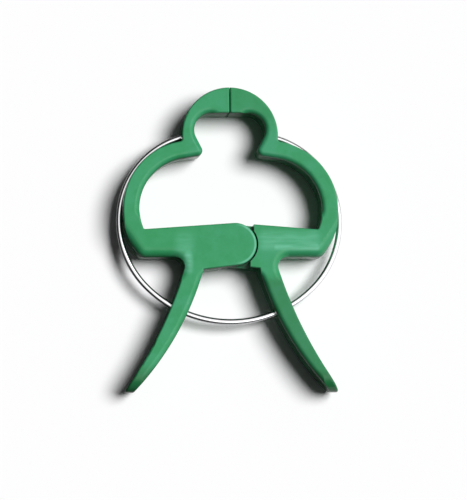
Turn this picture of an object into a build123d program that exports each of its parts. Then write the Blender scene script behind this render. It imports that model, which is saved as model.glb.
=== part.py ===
from build123d import *
from math import acos, atan2, cos, degrees, hypot, radians, sin, sqrt, tan
import os

# Orchid clip: two green moulded halves hinged on a snap boss, held shut by a C-shaped ring of spring wire.
# It lies on its back: +X across the jaws, +Y from the finger levers to the head loop, +Z out of its face.
# Sizes are millimetres and degrees. The origin is under the middle of the clip, on the face that it lies on.
# Each half is drawn for the right-hand side, and the left one is then mirrored.

# Whole clip
TIPS_BELOW_PIVOT = 21.5
HEAD_TOP_ABOVE_PIVOT = 23.05
THICKNESS = 5.0
EDGE_ROUND = 0.25
PIVOT_OFFSET = 0.6
PIVOT_Y = (TIPS_BELOW_PIVOT - HEAD_TOP_ABOVE_PIVOT) / 2

# Small head loop, which closes round the stake
HEAD_RADIUS = 7.05
JAW_GAP = 0.1
JAW_HEIGHT = 3.75
JAW_CORNER_ROUND = 0.3
SLOT_HALF_WIDTH = 5.2
SLOT_CORNER_ROUND = 2.45
SLOT_FLANK_LEAN = 27.0
THROAT_TIP_ROUND = 0.8
NOTCH_ROUND = 0.4

# Big side loops, which close round the stem
LOOP_RADIUS = 10.0
LOOP_WALL = 2.4
LOOP_CENTRE_X = 5.77
LOOP_ABOVE_PIVOT = 5.17
LOOP_STRAIGHT = 0.45
LOOP_INSIDE_DROP = 0.03
SHOULDER_SLOPE = 9.0
LOOP_CORNER_ROUND = 0.3

# Bar between each loop and the hinge
BAR_TOP_AT_LOOP = 2.17
BAR_BELOW_PIVOT = 1.85
BAR_CORNER_ROUND = 1.6
BAR_UNDER_SLOPE = 7.0

# Finger lever, drawn a little past its tip and trimmed there by a half-round end
LEVER_OUTER_ROOT_X = 6.35
LEVER_INNER_ROOT_X = 4.08
LEVER_OUTER_END_X = 16.05
LEVER_INNER_END_X = 14.63
LEVER_OUTER_BOW = 1.0
LEVER_INNER_BOW = 1.3
LEVER_TRIM = 0.3
LEVER_ROOT_ROUND = 1.4

# Soft rounding under the bar, which fades out up the arm and round the lever's root
SOFT_ROUND = 1.4
SOFT_ROOT_LEAD = 0.5
SOFT_FADE_UP_ARM = 60.0
SOFT_FADE_DOWN_LEVER = 2.5
FADE_UP_TURN = 10.0
FADE_DOWN_TURN = 60.0

# Softer inner edges of the loop, the throat and the lever, which fade out beside the bar and under the jaw
INNER_ROUND = 0.8
INNER_FADE = 1.2
INNER_FADE_TURN = 80.0
LEVER_FADE_LEAD = 1.5

# Hinge: two lapped plates, a snap boss on the rear one and a blind socket in the front one
HINGE_RADIUS = 3.1
HINGE_GAP = 0.22
PLATE_GAP = 0.1
HORN_TOP_SETBACK = 2.75
HORN_UNDER_SETBACK = 2.15
BOSS_RADIUS = 1.3
BOSS_HEIGHT = 1.6
BOSS_CHAMFER = 0.2
BOSS_CLEARANCE = 0.05
BEAD_RADIUS = 0.2
BEAD_PROUD = 0.12
BEAD_BELOW_TOP = 0.5

# Spring ring of round wire, in arcs that run into each other
WIRE_RADIUS = 0.45
RING_BOTTOM_RADIUS = 17.26
RING_SIDE_RADIUS = 13.6
RING_SHOULDER_RADIUS = 12.6
RING_BELOW_PIVOT = 11.16
RING_BOTTOM_HALF_ANGLE = 45.0
RING_SIDE_END_ANGLE = 16.3
WIRE_SEAT_DEPTH = 1.2
SEAT_CLEARANCE = 0.05
LEVER_HOLE_CLEARANCE = 0.2

# Cutting tools run this far past what they cut
OVERRUN = 1.0

BASE = (Align.CENTER, Align.CENTER, Align.MIN)


def polar(centre, radius, angle):
    """Point on a circle, at an angle in degrees."""
    return (centre[0] + radius * cos(radians(angle)), centre[1] + radius * sin(radians(angle)))


def crossing(centre_a, radius_a, centre_b, radius_b):
    """Where two circles cross, to the left of the way from centre a to centre b."""
    dx = centre_b[0] - centre_a[0]
    dy = centre_b[1] - centre_a[1]
    apart = hypot(dx, dy)
    along = (radius_a**2 - radius_b**2 + apart**2) / (2 * apart)
    aside = sqrt(radius_a**2 - along**2)
    ux = dx / apart
    uy = dy / apart
    return (centre_a[0] + ux * along - uy * aside, centre_a[1] + uy * along + ux * aside)


def upper_touch(point, centre, radius):
    """Upper point of a circle where the line from a point to its right touches it."""
    towards = atan2(point[1] - centre[1], point[0] - centre[0])
    reach = hypot(point[0] - centre[0], point[1] - centre[1])
    return polar(centre, radius, degrees(towards + acos(radius / reach)))


def leaving(arc, highest):
    """One end of an arc, the highest or the lowest, and the heading on past it."""
    ends = sorted([(arc @ 0, -(arc % 0)), (arc @ 1, arc % 1)], key=lambda end: end[0].Y)
    return ends[-1] if highest else ends[0]


HEAD_CENTRE = (0, PIVOT_Y + HEAD_TOP_ABOVE_PIVOT - HEAD_RADIUS)
LOOP_CENTRE = (LOOP_CENTRE_X, PIVOT_Y + LOOP_ABOVE_PIVOT)
LOOP_INSIDE_RADIUS = LOOP_RADIUS - LOOP_WALL
LOOP_INSIDE_CENTRE = (LOOP_CENTRE_X, LOOP_CENTRE[1] - LOOP_INSIDE_DROP)
BAR_UNDER_Y = PIVOT_Y - BAR_BELOW_PIVOT
TIP_Y = PIVOT_Y - TIPS_BELOW_PIVOT

# Centres of the ring's arcs, on the right-hand side
RING_BOTTOM_CENTRE = (0, PIVOT_Y - RING_BELOW_PIVOT + RING_BOTTOM_RADIUS)
RING_SIDE_START = RING_BOTTOM_HALF_ANGLE - 90
RING_SIDE_CENTRE = polar(RING_BOTTOM_CENTRE, RING_BOTTOM_RADIUS - RING_SIDE_RADIUS, RING_SIDE_START)
RING_SHOULDER_CENTRE = polar(RING_SIDE_CENTRE, RING_SIDE_RADIUS - RING_SHOULDER_RADIUS, RING_SIDE_END_ANGLE)


def throat_tip(shoulder, flank):
    """Sharp corner where the slot's leaning flank meets the shoulder's sloping underside."""
    lean = radians(SLOT_FLANK_LEAN)
    slope = radians(SHOULDER_SLOPE)
    dx = flank[0] - shoulder[0]
    dy = flank[1] - shoulder[1]
    down = (dx * sin(slope) + dy * cos(slope)) / cos(lean - slope)
    return (flank[0] - down * sin(lean), flank[1] - down * cos(lean))


def half_outline(pivot):
    """Outline of one half with its hinge plate, and the named points on it."""
    face = JAW_GAP / 2
    slot_top = HEAD_CENTRE[1] + HEAD_RADIUS - JAW_HEIGHT
    jaw_top = (face, HEAD_CENTRE[1] + sqrt(HEAD_RADIUS**2 - face**2))
    jaw_bottom = (face, slot_top)
    notch = crossing(HEAD_CENTRE, HEAD_RADIUS, LOOP_CENTRE, LOOP_RADIUS)

    side_high = (LOOP_CENTRE[0] + LOOP_RADIUS, LOOP_CENTRE[1])
    side_low = (side_high[0], side_high[1] - LOOP_STRAIGHT)
    bar_drop = side_low[1] - BAR_UNDER_Y
    bar_corner = (LOOP_CENTRE[0] + sqrt(LOOP_RADIUS**2 - bar_drop**2), BAR_UNDER_Y)
    lever_root = (LEVER_OUTER_ROOT_X, BAR_UNDER_Y)
    outer_end = (LEVER_OUTER_END_X, TIP_Y - LEVER_TRIM)
    inner_end = (LEVER_INNER_END_X, TIP_Y - LEVER_TRIM)

    under_touch = polar(pivot, HINGE_RADIUS, -90 - BAR_UNDER_SLOPE)
    fall = (LEVER_INNER_ROOT_X - under_touch[0]) * tan(radians(BAR_UNDER_SLOPE))
    inner_root = (LEVER_INNER_ROOT_X, under_touch[1] - fall)
    plate_end = polar(pivot, HINGE_RADIUS, 180)

    corner_drop = LOOP_INSIDE_CENTRE[1] - PIVOT_Y - BAR_TOP_AT_LOOP
    corner_x = LOOP_INSIDE_CENTRE[0] + sqrt(LOOP_INSIDE_RADIUS**2 - corner_drop**2)
    loop_corner = (corner_x, PIVOT_Y + BAR_TOP_AT_LOOP)
    top_touch = upper_touch(loop_corner, pivot, HINGE_RADIUS)
    shoulder = polar(LOOP_INSIDE_CENTRE, LOOP_INSIDE_RADIUS, 90 - SHOULDER_SLOPE)

    slot_arc_centre = (SLOT_HALF_WIDTH - SLOT_CORNER_ROUND, slot_top - SLOT_CORNER_ROUND)
    flank = polar(slot_arc_centre, SLOT_CORNER_ROUND, -SLOT_FLANK_LEAN)
    slot_corner = (slot_arc_centre[0], slot_top)
    tip = throat_tip(shoulder, flank)

    with BuildSketch() as sketch:
        with BuildLine():
            RadiusArc(jaw_top, notch, HEAD_RADIUS)
            RadiusArc(notch, side_high, LOOP_RADIUS)
            Line(side_high, side_low)
            RadiusArc(side_low, bar_corner, LOOP_RADIUS)
            Line(bar_corner, lever_root)
            SagittaArc(lever_root, outer_end, -LEVER_OUTER_BOW)
            Line(outer_end, inner_end)
            SagittaArc(inner_end, inner_root, LEVER_INNER_BOW)
            Line(inner_root, under_touch)
            ThreePointArc(under_touch, plate_end, top_touch)
            Line(top_touch, loop_corner)
            RadiusArc(loop_corner, shoulder, -LOOP_INSIDE_RADIUS)
            Line(shoulder, tip)
            Line(tip, flank)
            RadiusArc(flank, slot_corner, -SLOT_CORNER_ROUND)
            Line(slot_corner, jaw_bottom)
            Line(jaw_bottom, jaw_top)
        make_face()
        rounds = [
            (bar_corner, BAR_CORNER_ROUND),
            (lever_root, LEVER_ROOT_ROUND),
            (notch, NOTCH_ROUND),
            (loop_corner, LOOP_CORNER_ROUND),
            (tip, THROAT_TIP_ROUND),
            (jaw_bottom, JAW_CORNER_ROUND),
        ]
        for point, radius in rounds:
            fillet(sketch.vertices().sort_by_distance(point)[0], radius)
    points = {
        "bar_corner": bar_corner,
        "lever_root": lever_root,
        "inner_end": inner_end,
        "inner_root": inner_root,
        "shoulder": shoulder,
        "tip": tip,
        "flank": flank,
        "slot_side": polar(slot_arc_centre, SLOT_CORNER_ROUND, 0),
    }
    return sketch.sketch, points


def lever_tip_space():
    """Space that gives the lever a half-round end through its thickness."""
    radius = THICKNESS / 2
    above = TIPS_BELOW_PIVOT + HEAD_TOP_ABOVE_PIVOT
    with BuildPart() as space:
        with BuildSketch(Plane.YZ):
            with Locations((TIP_Y + radius, radius)):
                Circle(radius)
            with Locations((TIP_Y + radius + above / 2, radius)):
                Rectangle(above, THICKNESS)
        extrude(amount=above, both=True)
    return space.part


def soft_space(sketch, points):
    """Space round the half that softens its lower outer edges and drifts away from it at both ends."""
    far = TIPS_BELOW_PIVOT + HEAD_TOP_ABOVE_PIVOT
    corner = sketch.edges().sort_by_distance(points["bar_corner"])[0]
    root = sketch.edges().sort_by_distance(points["lever_root"])[0]
    root_turn = degrees(root.length / LEVER_ROOT_ROUND)
    up_from, up_heading = leaving(corner, True)
    bar_end, bar_heading = leaving(root, True)
    with BuildSketch() as area:
        with BuildLine():
            up = JernArc(up_from, up_heading, SOFT_FADE_UP_ARM, FADE_UP_TURN)
            add(corner)
            bar = Line(leaving(corner, False)[0], bar_end + bar_heading * SOFT_ROOT_LEAD)
            turn = JernArc(bar @ 1, bar % 1, LEVER_ROOT_ROUND, root_turn)
            down = JernArc(turn @ 1, turn % 1, SOFT_FADE_DOWN_LEVER, FADE_DOWN_TURN)
            above = ((up @ 1).X, far)
            beside = (far, (down @ 1).Y)
            Polyline(up @ 1, above, (-far, far), (-far, -far), (far, -far), beside, down @ 1)
        make_face()
    space = extrude(area.sketch, THICKNESS)
    chain = [edge @ 0.5 for edge in (up, corner, bar, turn, down)]
    layers = [0, THICKNESS]
    edges = [space.edges().sort_by_distance(Vector(at.X, at.Y, z))[0] for at in chain for z in layers]
    return fillet(edges, SOFT_ROUND)


def inner_space(sketch, points):
    """Space round the half that softens the inner edges of its loop, throat and lever."""
    far = TIPS_BELOW_PIVOT + HEAD_TOP_ABOVE_PIVOT
    shoulder_middle = (Vector(*points["shoulder"]) + Vector(*points["tip"])) / 2
    flank_middle = (Vector(*points["flank"]) + Vector(*points["tip"])) / 2
    throat_points = (shoulder_middle, points["tip"], flank_middle, points["slot_side"])
    throat = [sketch.edges().sort_by_distance(point)[0] for point in throat_points]
    lever = SagittaArc(points["inner_end"], points["inner_root"], LEVER_INNER_BOW).edge()
    lever = lever.trim(0, 1 - LEVER_FADE_LEAD / lever.length)
    with BuildSketch() as area:
        Rectangle(2 * far, 2 * far)
        with BuildLine():
            loop = CenterArc(LOOP_INSIDE_CENTRE, LOOP_INSIDE_RADIUS, 0, 90 - SHOULDER_SLOPE)
            add(throat)
            low = JernArc(loop @ 0, -(loop % 0), INNER_FADE, -INNER_FADE_TURN)
            high_from, high_heading = leaving(throat[-1], True)
            high = JernArc(high_from, high_heading, INNER_FADE, INNER_FADE_TURN)
            Polyline(high @ 1, ((high @ 1).X, (low @ 1).Y), low @ 1)
        make_face(mode=Mode.SUBTRACT)
        with BuildLine():
            add(lever)
            root = JernArc(lever @ 1, lever % 1, INNER_FADE, INNER_FADE_TURN)
            beside = (-far, (root @ 1).Y)
            Polyline(root @ 1, beside, (-far, -far), ((lever @ 0).X, -far), lever @ 0)
        make_face(mode=Mode.SUBTRACT)
    space = extrude(area.sketch, THICKNESS)
    chain = [edge @ 0.5 for edge in (low, loop, *throat, high, lever, root)]
    layers = [0, THICKNESS]
    edges = [space.edges().sort_by_distance(Vector(at.X, at.Y, z))[0] for at in chain for z in layers]
    return fillet(edges, INNER_ROUND)


def mate_space(pivot, low, high):
    """Space in one layer that the other half's hinge plate turns in, with blunt horns left above and below it."""
    reach = HINGE_RADIUS + OVERRUN
    with BuildPart() as space:
        with BuildSketch(Plane.XY.offset(low)):
            with Locations(pivot):
                Circle(HINGE_RADIUS + HINGE_GAP)
                for setback, side in ((HORN_TOP_SETBACK, 1), (HORN_UNDER_SETBACK, -1)):
                    with Locations(((setback - reach) / 2, side * (reach + HINGE_RADIUS / 2) / 2)):
                        Rectangle(setback + reach, reach - HINGE_RADIUS / 2)
        extrude(amount=high - low)
    return space.part


def ring_arcs(seat_depth):
    """The ring's three arcs on the right-hand side, its end at a depth in the neck."""
    entry = crossing(HEAD_CENTRE, HEAD_RADIUS, RING_SHOULDER_CENTRE, RING_SHOULDER_RADIUS)
    entry_angle = degrees(atan2(entry[1] - RING_SHOULDER_CENTRE[1], entry[0] - RING_SHOULDER_CENTRE[0]))
    end_angle = entry_angle + degrees(seat_depth / RING_SHOULDER_RADIUS)
    bottom = CenterArc(RING_BOTTOM_CENTRE, RING_BOTTOM_RADIUS, -90, RING_BOTTOM_HALF_ANGLE)
    side = CenterArc(RING_SIDE_CENTRE, RING_SIDE_RADIUS, RING_SIDE_START, RING_SIDE_END_ANGLE - RING_SIDE_START)
    shoulder_turn = end_angle - RING_SIDE_END_ANGLE
    shoulder = CenterArc(RING_SHOULDER_CENTRE, RING_SHOULDER_RADIUS, RING_SIDE_END_ANGLE, shoulder_turn)
    return bottom, side, shoulder


def tube(arcs, radius):
    """Round tube along arcs that follow on from each other, at the wire's height."""
    path = Pos(0, 0, THICKNESS / 2) * Wire(arcs)
    return sweep(Plane(origin=path @ 0, z_dir=path % 0) * Circle(radius), path=path)


def clip_half(pivot_x):
    """One half without its hinge, with the ring's groove, seat and hole."""
    sketch, points = half_outline((pivot_x, PIVOT_Y))
    body = extrude(sketch, THICKNESS) & lever_tip_space()
    across = [edge for edge in body.edges() if abs(edge.position_at(0).Z - edge.position_at(1).Z) < EDGE_ROUND]
    body = fillet(across, EDGE_ROUND)
    body = body & soft_space(sketch, points) & inner_space(sketch, points)
    bottom, side, shoulder = ring_arcs(WIRE_SEAT_DEPTH + SEAT_CLEARANCE)
    body -= tube([side, shoulder], WIRE_RADIUS + SEAT_CLEARANCE)
    body -= tube([bottom], WIRE_RADIUS + LEVER_HOLE_CLEARANCE)
    return body


def right_clip_half():
    """Right half: its hinge plate is the rear one and carries the snap boss."""
    pivot = (PIVOT_OFFSET, PIVOT_Y)
    plate_top = (THICKNESS - PLATE_GAP) / 2
    boss_top = plate_top + BOSS_HEIGHT
    body = clip_half(PIVOT_OFFSET) - mate_space(pivot, plate_top, THICKNESS + OVERRUN)
    boss = Pos(*pivot, plate_top / 2) * Cylinder(BOSS_RADIUS, boss_top - plate_top / 2, align=BASE)
    boss = chamfer(boss.edges().sort_by(Axis.Z)[-1], BOSS_CHAMFER)
    bead = Pos(*pivot, boss_top - BEAD_BELOW_TOP) * Torus(BOSS_RADIUS + BEAD_PROUD - BEAD_RADIUS, BEAD_RADIUS)
    return body + boss + bead


def left_clip_half():
    """Left half: its hinge plate is the front one and has the blind socket behind it."""
    pivot = (-PIVOT_OFFSET, PIVOT_Y)
    plate_bottom = (THICKNESS + PLATE_GAP) / 2
    boss_top = (THICKNESS - PLATE_GAP) / 2 + BOSS_HEIGHT
    socket_top = boss_top + 2 * BOSS_CLEARANCE
    body = clip_half(-PIVOT_OFFSET) - mate_space(pivot, -OVERRUN, plate_bottom)
    socket = Pos(*pivot, 0) * Cylinder(BOSS_RADIUS + BOSS_CLEARANCE, socket_top, align=BASE)
    groove_radius = BEAD_RADIUS + BOSS_CLEARANCE
    groove = Pos(*pivot, boss_top - BEAD_BELOW_TOP) * Torus(BOSS_RADIUS + BEAD_PROUD - BEAD_RADIUS, groove_radius)
    body = body - socket - groove
    return mirror(body, about=Plane.YZ)


def spring_ring():
    """The C-shaped ring, from one neck round under the levers to the other."""
    right = list(ring_arcs(WIRE_SEAT_DEPTH))
    left = [mirror(arc, about=Plane.YZ).edge() for arc in reversed(right)]
    return tube(left + right, WIRE_RADIUS)


os.makedirs("parts", exist_ok=True)
for make in (left_clip_half, right_clip_half, spring_ring):
    piece = make()
    export_step(piece, "parts/" + make.__name__ + ".step")
    print(make.__name__, "volume", round(piece.volume, 2))
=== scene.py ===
import math

import bmesh
import bpy
from mathutils import Matrix, Quaternion, Vector


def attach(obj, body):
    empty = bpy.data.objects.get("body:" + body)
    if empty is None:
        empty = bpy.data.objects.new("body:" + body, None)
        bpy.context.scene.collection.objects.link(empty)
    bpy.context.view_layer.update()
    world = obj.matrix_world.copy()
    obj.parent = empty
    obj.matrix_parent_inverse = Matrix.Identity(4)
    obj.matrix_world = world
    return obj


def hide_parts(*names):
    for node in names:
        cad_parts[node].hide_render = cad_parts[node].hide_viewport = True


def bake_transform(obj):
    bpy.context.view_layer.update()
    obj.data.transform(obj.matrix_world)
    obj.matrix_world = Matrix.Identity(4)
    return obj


# Orchid clip lying on a white table, seen from above and a little from its lower left. Lengths are metres.
MM = 0.001

# Camera
CAMERA_AT = Vector((-71.3, -76.4, 623.5)) * MM
CAMERA_AIM = Vector((0.26, -1.68, 5.0)) * MM
CAMERA_ROLL = math.radians(-0.72)
CAMERA_LENS = 310.4

# Light: a broad soft key from the right, with a weak fill from the same side
KEY_AZIMUTH = math.radians(22)
KEY_ELEVATION = math.radians(58)
KEY_WIDTH = math.radians(33)
KEY_LEVEL = 0.97
KEY_DISTANCE = 0.5
FILL_TOWARDS = Vector((0.62, 0.45, 0.64))
FILL_RANGE = (0.2, 0.9)
FILL_LEVEL = 0.09
AMBIENT_LEVEL = 0.02

# What gloss sees: a pale sky above a dark horizon, which is highest to the left
SKY_TILT = 0.18
SKY_RANGE = (0.68, 0.86)
SKY_LEVEL = 1.2
HORIZON_LEVEL = 0.03

# Soft lights that only gloss sees: towards, cosine where each begins, cosine where it is full, level
GLOSS_LIGHTS = (
    (Vector((0.486, 0.199, 0.851)), 0.955, 0.985, 1.5),
    (Vector((0.30, -0.25, 0.92)), 0.93, 0.985, 1.2),
    (Vector((0.92, -0.20, 0.36)), 0.78, 0.92, 1.0),
)

# Floor: the tone that shows, the tone that lights the clip, and the dark tone of far reflections to the left
FLOOR_SIZE = 4.0
FLOOR_DROP = 0.02 * MM
FLOOR_COLOUR = (0.97, 0.97, 0.975, 1)
FLOOR_BOUNCE = (0.12, 0.12, 0.12, 1)
FLOOR_FAR = (0.05, 0.05, 0.05, 1)
FLOOR_ROUGHNESS = 0.9
FAR_ALONG_RAY = (2.5 * MM, 5.0 * MM)
FAR_ACROSS = (-8 * MM, 16 * MM)

# Moulded green plastic
GREEN = (0.036, 0.306, 0.116, 1)
GREEN_DEEP = (0.026, 0.258, 0.086, 1)
GREEN_COOL = (0.048, 0.320, 0.158, 1)
# Colour of the painted shade
GREEN_PAINTED_SHADE = (0.014, 0.120, 0.035, 1)
# Colour of the painted highlights
GREEN_PAINTED_HIGHLIGHT = (0.125, 0.480, 0.290, 1)
PLASTIC_ROUGHNESS = (0.17, 0.25)
PLASTIC_SPECULAR = 0.30
PLASTIC_IOR = 1.5

# Its noises: features per millimetre, and the range of the noise that shows
FLOW_PER_MM = 0.09
FLOW_RANGE = (0.35, 0.70)
MOTTLE_PER_MM = 0.45
MOTTLE_ROUGHNESS = 0.6
MOTTLE_RANGE = (0.42, 0.62)
MOTTLE_SHARE = 0.55
# Streaks that break up the painted highlights
STREAKS_PER_MM = 2.2
STREAKS_RANGE = (0.35, 0.60)
STREAKS_LEAST = 0.55
STREAKS_STRETCH = (0.12, 1.0, 1.0)
WAVES_PER_MM = 0.16
WAVES_DEPTH = 0.05 * MM
WAVES_STRENGTH = 0.8
GRAIN_PER_MM = 7.0
GRAIN_DEPTH = 0.006 * MM
GRAIN_STRENGTH = 0.5

# Where the tone is deeper (painted shade) or paler (painted highlights): middle, half size, width of the
# soft border and share, in millimetres
# Painted shade on the right lever and on the two lever tips, and a slightly darker right jaw
SHADE_PAINTED_PLACES = (
    ((8.5, -14.0, 5.0), (6.0, 7.5, 0.1), 1.3, 0.48),
    ((-15.5, -21.8, 2.5), (3.0, 1.2, 9.0), 3.0, 0.75),
    ((15.5, -21.8, 2.5), (3.0, 1.6, 9.0), 3.0, 0.75),
    ((3.2, 20.0, 2.5), (2.6, 1.8, 9.0), 2.0, 0.20),
)
# Painted highlights: a pale band and a highlight line along the right bar, and a highlight streak at the
# left lever's root
HIGHLIGHT_PAINTED_PLACES = (
    ((8.5, -0.3, 5.0), (3.6, 0.5, 1.0), 1.6, 0.65),
    ((9.5, -1.2, 5.0), (3.0, 0.1, 1.0), 0.7, 1.00),
    ((-6.4, -3.4, 5.0), (0.1, 1.2, 1.0), 0.9, 1.00),
    ((-6.9, -0.9, 5.0), (0.4, 0.8, 1.0), 1.6, 0.45),
)

# Painted highlight along the rim of the front hinge plate
PLATE_CENTRE = Vector((0.6, -0.775, 5.0)) * MM
RIM_HIGHLIGHT_INSIDE = 2.80 * MM
RIM_HIGHLIGHT_OUTSIDE = 3.05 * MM
RIM_HIGHLIGHT_BORDER = 0.15 * MM

# Bright drawn wire
STEEL = (0.80, 0.80, 0.81, 1)
STEEL_DULL = (0.62, 0.62, 0.64, 1)
STEEL_ROUGHNESS = (0.11, 0.20)
DULL_PER_MM = 0.6
DULL_RANGE = (0.35, 0.70)
DULL_SHARE = 0.25
WIRE_GRID = 0.08 * MM
WIRE_SOFTENING = 0.5
WIRE_SOFTENINGS = 6

# The wire is cut at these two places, inside the lever holes, and its low run lies between them
RING_BENDS_FROM = Vector((-8.0, -12, 2.5)) * MM
RING_BENDS_TO = Vector((8.0, -12, 2.5)) * MM


def node(tree, kind, inputs=None, **settings):
    """A new node with its settings, and its inputs as values or as the sockets that feed them."""
    made = tree.nodes.new(kind)
    for name, value in settings.items():
        setattr(made, name, value)
    for name, value in (inputs or {}).items():
        if isinstance(value, bpy.types.NodeSocket):
            tree.links.new(value, made.inputs[name])
        else:
            made.inputs[name].default_value = value
    return made


def reckon(tree, operation, *values, **settings):
    """One step of arithmetic on numbers."""
    return node(tree, "ShaderNodeMath", dict(enumerate(values)), operation=operation, **settings).outputs[0]


def reckon_vector(tree, operation, *values):
    """One step of arithmetic on vectors. A length or dot product comes out as a number."""
    made = node(tree, "ShaderNodeVectorMath", dict(enumerate(values)), operation=operation)
    return made.outputs["Value" if operation in ("LENGTH", "DOT_PRODUCT") else "Vector"]


def split(tree, vector):
    """The X, Y and Z of a vector."""
    return node(tree, "ShaderNodeSeparateXYZ", {"Vector": vector}).outputs


def noise(tree, place, per_mm, detail, roughness=0.5):
    """Noise with about this many features per millimetre."""
    made = node(tree, "ShaderNodeTexNoise", {
        "Vector": place,
        "Scale": per_mm / MM,
        "Detail": detail,
        "Roughness": roughness,
    })
    return made.outputs["Fac"]


def spread(tree, value, span=(0.0, 1.0), onto=(0.0, 1.0), ease="LINEAR"):
    """A value mapped from one span onto another."""
    made = node(tree, "ShaderNodeMapRange", {
        "Value": value,
        "From Min": span[0],
        "From Max": span[1],
        "To Min": onto[0],
        "To Max": onto[1],
    }, interpolation_type=ease)
    return made.outputs["Result"]


def mixed(tree, share, first, second):
    """Two colours mixed by a share of the second."""
    made = node(tree, "ShaderNodeMix", {0: share, 6: first, 7: second}, data_type="RGBA")
    return made.outputs[2]


def bump(tree, height, depth, strength, under=None):
    """A bump of this depth, over the normal of the one under it."""
    inputs = {"Height": height, "Distance": depth, "Strength": strength}
    if under is not None:
        inputs["Normal"] = under
    return node(tree, "ShaderNodeBump", inputs).outputs["Normal"]


def new_material(name):
    """An empty material, its node tree and the shader that its output takes."""
    material = bpy.data.materials.new(name)
    material.use_nodes = True
    tree = material.node_tree
    tree.nodes.clear()
    shader = node(tree, "ShaderNodeBsdfPrincipled")
    node(tree, "ShaderNodeOutputMaterial", {"Surface": shader.outputs["BSDF"]})
    return material, tree, shader


def patches(tree, place, listed):
    """Share of a second tone: soft boxes, each with its own share."""
    total = 0.0
    for middle, half, border, share in listed:
        offset = reckon_vector(tree, "SUBTRACT", place, Vector(middle) * MM)
        size = reckon_vector(tree, "ABSOLUTE", offset)
        outside = reckon_vector(tree, "SUBTRACT", size, Vector(half) * MM)
        proud = reckon_vector(tree, "MAXIMUM", outside, (0, 0, 0))
        away = reckon_vector(tree, "LENGTH", proud)
        box = spread(tree, away, (0.0, border * MM), (share, 0.0), "SMOOTHSTEP")
        total = reckon(tree, "MAXIMUM", box, total)
    return total


def painted_rim_highlight(tree, place):
    """Share of the painted highlight along the hinge plate's rim, on the side of the right half."""
    offset = reckon_vector(tree, "SUBTRACT", place, PLATE_CENTRE)
    away = reckon_vector(tree, "LENGTH", reckon_vector(tree, "MULTIPLY", offset, (1, 1, 0)))
    parts = split(tree, offset)
    share = 1.0
    for value, span in (
        (away, (RIM_HIGHLIGHT_INSIDE - RIM_HIGHLIGHT_BORDER, RIM_HIGHLIGHT_INSIDE)),
        (away, (RIM_HIGHLIGHT_OUTSIDE + RIM_HIGHLIGHT_BORDER, RIM_HIGHLIGHT_OUTSIDE)),
        (parts["X"], (0.0, RIM_HIGHLIGHT_INSIDE / 2)),
        (parts["Z"], (-RIM_HIGHLIGHT_BORDER, 0.0)),
    ):
        share = reckon(tree, "MULTIPLY", spread(tree, value, span), share)
    return share


def plastic_colour(tree, place, mottle):
    """Mottled green, with painted shade where it is deeper and painted highlights where it is paler."""
    flow = spread(tree, noise(tree, place, FLOW_PER_MM, detail=2), FLOW_RANGE)
    tone = mixed(tree, flow, GREEN, GREEN_COOL)
    even = mixed(tree, spread(tree, mottle, onto=(0.0, MOTTLE_SHARE)), tone, GREEN_DEEP)
    # Painted shade on the right lever and the lever tips, and a slightly darker right jaw
    deeper = mixed(tree, patches(tree, place, SHADE_PAINTED_PLACES), even, GREEN_PAINTED_SHADE)
    # Painted highlights on the right bar and the left lever's root, broken into streaks
    streaky = node(tree, "ShaderNodeMapping", {"Vector": place, "Scale": STREAKS_STRETCH}).outputs["Vector"]
    lines = noise(tree, streaky, STREAKS_PER_MM, detail=3)
    streaks = spread(tree, lines, STREAKS_RANGE, (STREAKS_LEAST, 1.0))
    pale = reckon(tree, "MULTIPLY", patches(tree, place, HIGHLIGHT_PAINTED_PLACES), streaks)
    # The painted highlights, with the painted highlight along the plate's rim, over the rest
    return mixed(tree, reckon(tree, "MAXIMUM", pale, painted_rim_highlight(tree, place)), deeper, GREEN_PAINTED_HIGHLIGHT)


def green_plastic():
    """Moulded semi-gloss plastic: uneven in tone and surface, with a few flow marks and a fine grain, and
    with painted shade and painted highlights in places.
    """
    material, tree, shader = new_material("moulded_green_plastic")
    place = node(tree, "ShaderNodeTexCoord").outputs["Object"]
    spots = noise(tree, place, MOTTLE_PER_MM, detail=4, roughness=MOTTLE_ROUGHNESS)
    mottle = spread(tree, spots, MOTTLE_RANGE)
    waves = bump(tree, noise(tree, place, WAVES_PER_MM, detail=2), WAVES_DEPTH, WAVES_STRENGTH)
    grain = bump(tree, noise(tree, place, GRAIN_PER_MM, detail=2), GRAIN_DEPTH, GRAIN_STRENGTH, waves)
    tree.links.new(plastic_colour(tree, place, mottle), shader.inputs["Base Color"])
    tree.links.new(spread(tree, mottle, onto=PLASTIC_ROUGHNESS), shader.inputs["Roughness"])
    tree.links.new(grain, shader.inputs["Normal"])
    shader.inputs["IOR"].default_value = PLASTIC_IOR
    shader.inputs["Specular IOR Level"].default_value = PLASTIC_SPECULAR
    return material


def drawn_steel():
    """Bright spring wire, unevenly dull along it."""
    material, tree, shader = new_material("bright_drawn_wire")
    place = node(tree, "ShaderNodeTexCoord").outputs["Object"]
    dull = spread(tree, noise(tree, place, DULL_PER_MM, detail=3), DULL_RANGE)
    colour = mixed(tree, spread(tree, dull, onto=(0.0, DULL_SHARE)), STEEL, STEEL_DULL)
    tree.links.new(colour, shader.inputs["Base Color"])
    tree.links.new(spread(tree, dull, onto=STEEL_ROUGHNESS), shader.inputs["Roughness"])
    shader.inputs["Metallic"].default_value = 1.0
    return material


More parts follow.
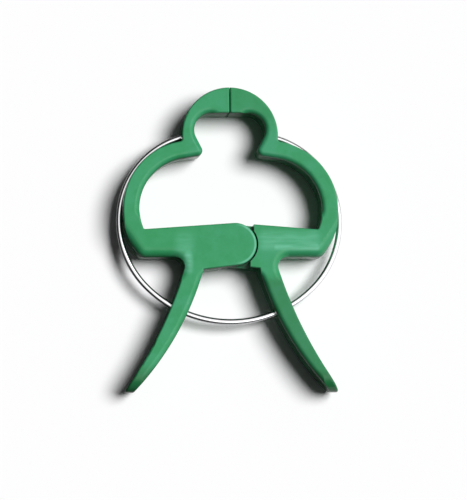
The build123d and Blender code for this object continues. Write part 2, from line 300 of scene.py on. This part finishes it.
def floor_material():
    """Plain white table, which throws less light back at the clip than it shows."""
    material, tree, shader = new_material("white_table")
    rays = node(tree, "ShaderNodeLightPath").outputs
    across = split(tree, node(tree, "ShaderNodeTexCoord").outputs["Object"])["X"]
    shown = reckon(tree, "MAXIMUM", rays["Is Camera Ray"], rays["Is Glossy Ray"])
    along_ray = spread(tree, rays["Ray Length"], FAR_ALONG_RAY)
    far = reckon(tree, "MULTIPLY", along_ray, spread(tree, across, FAR_ACROSS, (1.0, 0.0)))
    dim = reckon(tree, "MULTIPLY", far, rays["Is Glossy Ray"])
    colour = mixed(tree, shown, FLOOR_BOUNCE, FLOOR_COLOUR)
    tree.links.new(mixed(tree, dim, colour, FLOOR_FAR), shader.inputs["Base Color"])
    shader.inputs["Roughness"].default_value = FLOOR_ROUGHNESS
    shader.inputs["Specular IOR Level"].default_value = 0.0
    return material


def dress(piece, material):
    """Gives a piece this material alone, and smooth faces."""
    piece.data.materials.clear()
    piece.data.materials.append(material)
    for face in piece.data.polygons:
        face.use_smooth = True


def even_out(wire):
    """Rebuilds the wire on a fine even grid, so that its shine runs along it without steps."""
    grid = wire.modifiers.new("grid", "REMESH")
    grid.mode = "VOXEL"
    grid.voxel_size = WIRE_GRID
    soft = wire.modifiers.new("soft", "SMOOTH")
    soft.factor = WIRE_SOFTENING
    soft.iterations = WIRE_SOFTENINGS
    fine = wire.evaluated_get(bpy.context.evaluated_depsgraph_get())
    mesh = bpy.data.meshes.new_from_object(fine)
    wire.modifiers.clear()
    wire.data = mesh


def is_low(item):
    """Whether an edge or face is on the levers' side of the hinge."""
    return all(vert.co.y < 0 for vert in item.verts)


def run_of(face):
    """The run of the wire that a face belongs to."""
    middle = face.calc_center_median()
    if is_low(face) and RING_BENDS_FROM.x < middle.x < RING_BENDS_TO.x:
        return "wire_low"
    return "wire_left" if middle.x < 0 else "wire_right"


def wire_run(wire, name, material):
    """One run of the wire, cut inside the lever holes and closed at its cuts."""
    shape = bmesh.new()
    shape.from_mesh(wire.data)
    for place in (RING_BENDS_FROM, RING_BENDS_TO):
        low = [vert for vert in shape.verts if vert.co.y < 0]
        low += [item for items in (shape.edges, shape.faces) for item in items if is_low(item)]
        bmesh.ops.bisect_plane(shape, geom=low, plane_co=place, plane_no=(1, 0, 0))
    others = [face for face in shape.faces if run_of(face) != name]
    bmesh.ops.delete(shape, geom=others, context="FACES")
    bmesh.ops.holes_fill(shape, edges=[edge for edge in shape.edges if edge.is_boundary])
    mesh = bpy.data.meshes.new(name)
    shape.to_mesh(mesh)
    shape.free()
    run = bpy.data.objects.new(name, mesh)
    bpy.context.scene.collection.objects.link(run)
    dress(run, material)
    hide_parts("spring_ring")
    return run


def bending_ring(nodes, material):
    """The ring in three runs: one rides on each half, and the low one lies between the levers."""
    wire = bpy.data.objects.new("whole_wire", nodes["spring_ring"].data.copy())
    bpy.context.scene.collection.objects.link(wire)
    even_out(wire)
    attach(wire_run(wire, "wire_left", material), "left_half")
    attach(wire_run(wire, "wire_right", material), "right_half")
    low = wire_run(wire, "wire_low", material)
    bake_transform(low)
    bpy.data.objects.remove(wire)


def add_floor():
    """White table top, just under the clip."""
    bpy.ops.mesh.primitive_plane_add(size=FLOOR_SIZE, location=(0, 0, -FLOOR_DROP))
    floor = bpy.context.object
    floor.name = "table_top"
    floor.data.materials.append(floor_material())


def add_key():
    """The soft key light. Gloss doesn't see it, and has a soft light of its own in that direction."""
    lamp = bpy.data.lights.new("key", "SUN")
    lamp.energy = KEY_LEVEL * math.pi / math.sin(KEY_ELEVATION)
    lamp.angle = KEY_WIDTH
    key = bpy.data.objects.new("key", lamp)
    level = math.cos(KEY_ELEVATION)
    towards = Vector((
        level * math.cos(KEY_AZIMUTH),
        level * math.sin(KEY_AZIMUTH),
        math.sin(KEY_ELEVATION),
    ))
    key.rotation_mode = "QUATERNION"
    key.rotation_quaternion = towards.to_track_quat("Z", "Y")
    key.location = towards * KEY_DISTANCE
    key.visible_glossy = False
    bpy.context.scene.collection.objects.link(key)


def gloss_strength(tree, place):
    """Brightness of the surroundings that gloss sees, by direction."""
    parts = split(tree, place)
    tilted = reckon(tree, "MULTIPLY_ADD", parts["X"], SKY_TILT, parts["Z"])
    total = spread(tree, tilted, SKY_RANGE, (HORIZON_LEVEL, SKY_LEVEL))
    for towards, begins, full, level in GLOSS_LIGHTS:
        near = reckon_vector(tree, "DOT_PRODUCT", place, towards.normalized())
        total = reckon(tree, "ADD", total, spread(tree, near, (begins, full), (0.0, level)))
    return total


def glow(tree, strength):
    """White surroundings of this strength."""
    return node(tree, "ShaderNodeBackground", {"Color": (1, 1, 1, 1), "Strength": strength}).outputs[0]


def add_surroundings():
    """Fill light from one side, white to the camera, and with a brightness of its own for gloss."""
    world = bpy.data.worlds.new("surroundings")
    world.use_nodes = True
    tree = world.node_tree
    tree.nodes.clear()
    place = node(tree, "ShaderNodeTexCoord").outputs["Generated"]
    rays = node(tree, "ShaderNodeLightPath").outputs
    side = reckon_vector(tree, "DOT_PRODUCT", place, FILL_TOWARDS.normalized())
    fill = glow(tree, spread(tree, side, FILL_RANGE, (AMBIENT_LEVEL, FILL_LEVEL)))
    gloss = glow(tree, gloss_strength(tree, place))
    # A glossy ray that comes from a diffuse surface gets the fill, so that it doesn't brighten the shadows
    shine = reckon(tree, "SUBTRACT", rays["Is Glossy Ray"], rays["Diffuse Depth"], use_clamp=True)
    first = node(tree, "ShaderNodeMixShader", {0: shine, 1: fill, 2: gloss}).outputs[0]
    second = node(tree, "ShaderNodeMixShader", {0: rays["Is Camera Ray"], 1: first, 2: glow(tree, 1.0)})
    node(tree, "ShaderNodeOutputWorld", {"Surface": second.outputs[0]})
    bpy.context.scene.world = world


def add_camera():
    """The photograph's camera."""
    camera = bpy.data.objects.new("camera", bpy.data.cameras.new("camera"))
    camera.data.lens = CAMERA_LENS
    camera.location = CAMERA_AT
    back = (CAMERA_AT - CAMERA_AIM).normalized()
    side = Vector((0, 1, 0)).cross(back).normalized()
    level = Matrix((side, back.cross(side), back)).transposed().to_quaternion()
    camera.rotation_mode = "QUATERNION"
    camera.rotation_quaternion = level @ Quaternion((0, 0, 1), CAMERA_ROLL)
    bpy.context.scene.collection.objects.link(camera)
    bpy.context.scene.camera = camera


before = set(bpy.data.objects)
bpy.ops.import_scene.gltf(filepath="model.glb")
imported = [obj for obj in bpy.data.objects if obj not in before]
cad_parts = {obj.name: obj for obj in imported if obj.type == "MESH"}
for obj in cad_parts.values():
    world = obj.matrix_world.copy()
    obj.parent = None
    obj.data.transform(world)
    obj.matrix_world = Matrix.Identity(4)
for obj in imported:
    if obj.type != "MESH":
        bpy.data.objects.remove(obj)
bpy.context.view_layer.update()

plastic = green_plastic()
steel = drawn_steel()
for half in ("left_clip_half", "right_clip_half"):
    dress(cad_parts[half], plastic)
bending_ring(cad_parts, steel)

add_floor()
add_key()
add_surroundings()
add_camera()
bpy.context.scene.view_settings.view_transform = "Standard"
